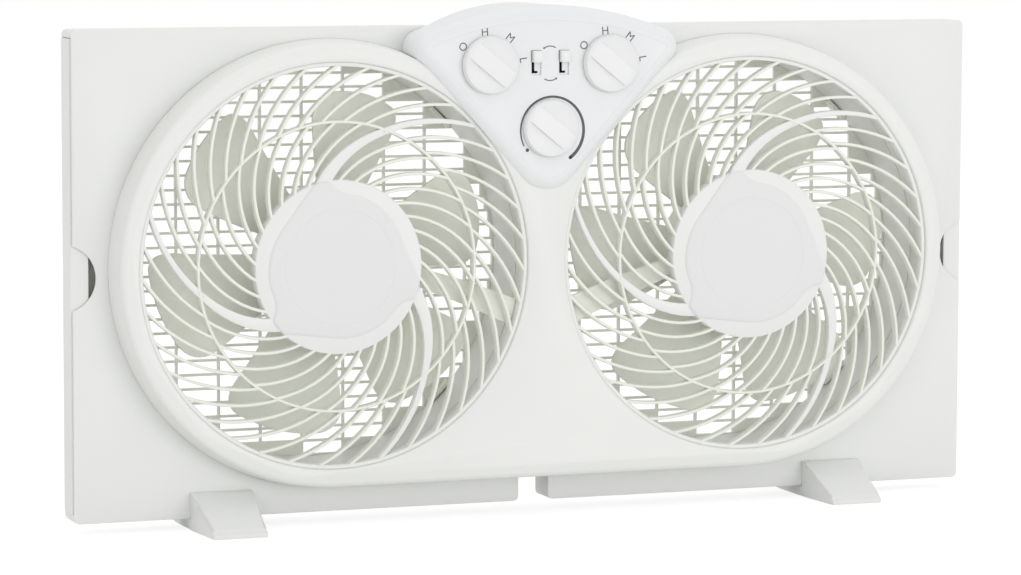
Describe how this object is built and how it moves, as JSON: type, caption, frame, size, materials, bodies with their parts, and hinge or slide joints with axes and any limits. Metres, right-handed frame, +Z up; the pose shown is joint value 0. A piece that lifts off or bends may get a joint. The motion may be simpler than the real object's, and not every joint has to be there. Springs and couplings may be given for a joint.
{
  "type": "window fan",
  "caption": "Window fan with side-by-side fans in one moulded body, spiral front grilles, dial panel at the top, pull-out pleated side panels and clip-on feet.",
  "frame": {"origin": "floor level under the middle of the body, at the middle of the side panels' thickness", "axes": "+X to the right seen from the front, +Y to the back (air side away from the controls), +Z up"},
  "size_m": [0.599, 0.109, 0.3204],
  "materials": {
    "shell_white": "satin moulded white, fine grain",
    "panel_white": "satin moulded white",
    "grille_white": "satin moulded warm white",
    "control_white": "satin moulded white, slightly cool",
    "blade_white": "matt moulded grey-white",
    "screen_grey": "matt pleated sheet",
    "inner_grey": "matt moulded grey",
    "black_plastic": "matt black",
    "motor_steel": "laminated and pressed steel, dull",
    "steel": "bright drawn steel",
    "zinc": "zinc plated"
  },
  "bodies": {
    "fan_body": {"front_housing": "shell_white", "rear_housing": "shell_white", "left_side_panel": "panel_white", "right_side_panel": "panel_white", "left_front_grille": "grille_white", "left_wire_channel": "grille_white", "left_rear_grille": "shell_white", "left_motor": "motor_steel", "left_motor_screw_1": "zinc", "left_motor_screw_2": "zinc", "left_motor_screw_3": "zinc", "left_foot": "panel_white", "right_front_grille": "grille_white", "right_wire_channel": "grille_white", "right_rear_grille": "shell_white", "right_motor": "motor_steel", "right_motor_screw_1": "zinc", "right_motor_screw_2": "zinc", "right_motor_screw_3": "zinc", "right_foot": "panel_white", "control_panel": "control_white", "control_box": "shell_white", "left_speed_switch": "black_plastic", "right_speed_switch": "black_plastic", "thermostat": "inner_grey", "left_airflow_switch": "black_plastic", "right_airflow_switch": "black_plastic", "cord_gland": "black_plastic", "body_screw_1": "zinc", "body_screw_2": "zinc", "body_screw_3": "zinc", "body_screw_4": "zinc", "body_screw_5": "zinc", "body_screw_6": "zinc"},
    "left_rotor": {"left_motor_shaft": "steel", "left_fan_blades": "blade_white", "left_blade_nut": "black_plastic"},
    "right_rotor": {"right_motor_shaft": "steel", "right_fan_blades": "blade_white", "right_blade_nut": "black_plastic"},
    "left_speed_dial": {"left_speed_knob": "control_white"},
    "right_speed_dial": {"right_speed_knob": "control_white"},
    "thermostat_dial": {"thermostat_knob": "control_white"},
    "left_airflow_slider": {"left_airflow_key": "control_white"},
    "right_airflow_slider": {"right_airflow_key": "control_white"},
    "left_pull_out": {"left_extender": "panel_white", "left_pleated_screen": "screen_grey"},
    "right_pull_out": {"right_extender": "panel_white", "right_pleated_screen": "screen_grey"}
  },
  "joints": [
    {"name": "left_fan_spin", "type": "hinge", "parent": "fan_body", "child": "left_rotor", "pos_m": [-0.1376, 0, 0.1616], "axis": [0, 1, 0], "continuous": true},
    {"name": "right_fan_spin", "type": "hinge", "parent": "fan_body", "child": "right_rotor", "pos_m": [0.1376, 0, 0.1616], "axis": [0, 1, 0], "continuous": true},
    {"name": "left_speed_turn", "type": "hinge", "parent": "fan_body", "child": "left_speed_dial", "pos_m": [-0.04, 0, 0.284], "axis": [0, 1, 0], "range_deg": [0, 135]},
    {"name": "right_speed_turn", "type": "hinge", "parent": "fan_body", "child": "right_speed_dial", "pos_m": [0.04, 0, 0.284], "axis": [0, 1, 0], "range_deg": [0, 135]},
    {"name": "thermostat_turn", "type": "hinge", "parent": "fan_body", "child": "thermostat_dial", "pos_m": [0, 0, 0.2444], "axis": [0, 1, 0], "range_deg": [-77, 196]},
    {"name": "left_airflow_slide", "type": "slide", "parent": "fan_body", "child": "left_airflow_slider", "axis": [0, 0, -1], "range_m": [0, 0.0075]},
    {"name": "right_airflow_slide", "type": "slide", "parent": "fan_body", "child": "right_airflow_slider", "axis": [0, 0, -1], "range_m": [0, 0.0075]},
    {"name": "left_extender_slide", "type": "slide", "parent": "fan_body", "child": "left_pull_out", "axis": [-1, 0, 0], "range_m": [0, 0.17], "deforming": ["left_pleated_screen"]},
    {"name": "right_extender_slide", "type": "slide", "parent": "fan_body", "child": "right_pull_out", "axis": [1, 0, 0], "range_m": [0, 0.17], "deforming": ["right_pleated_screen"]}
  ]
}
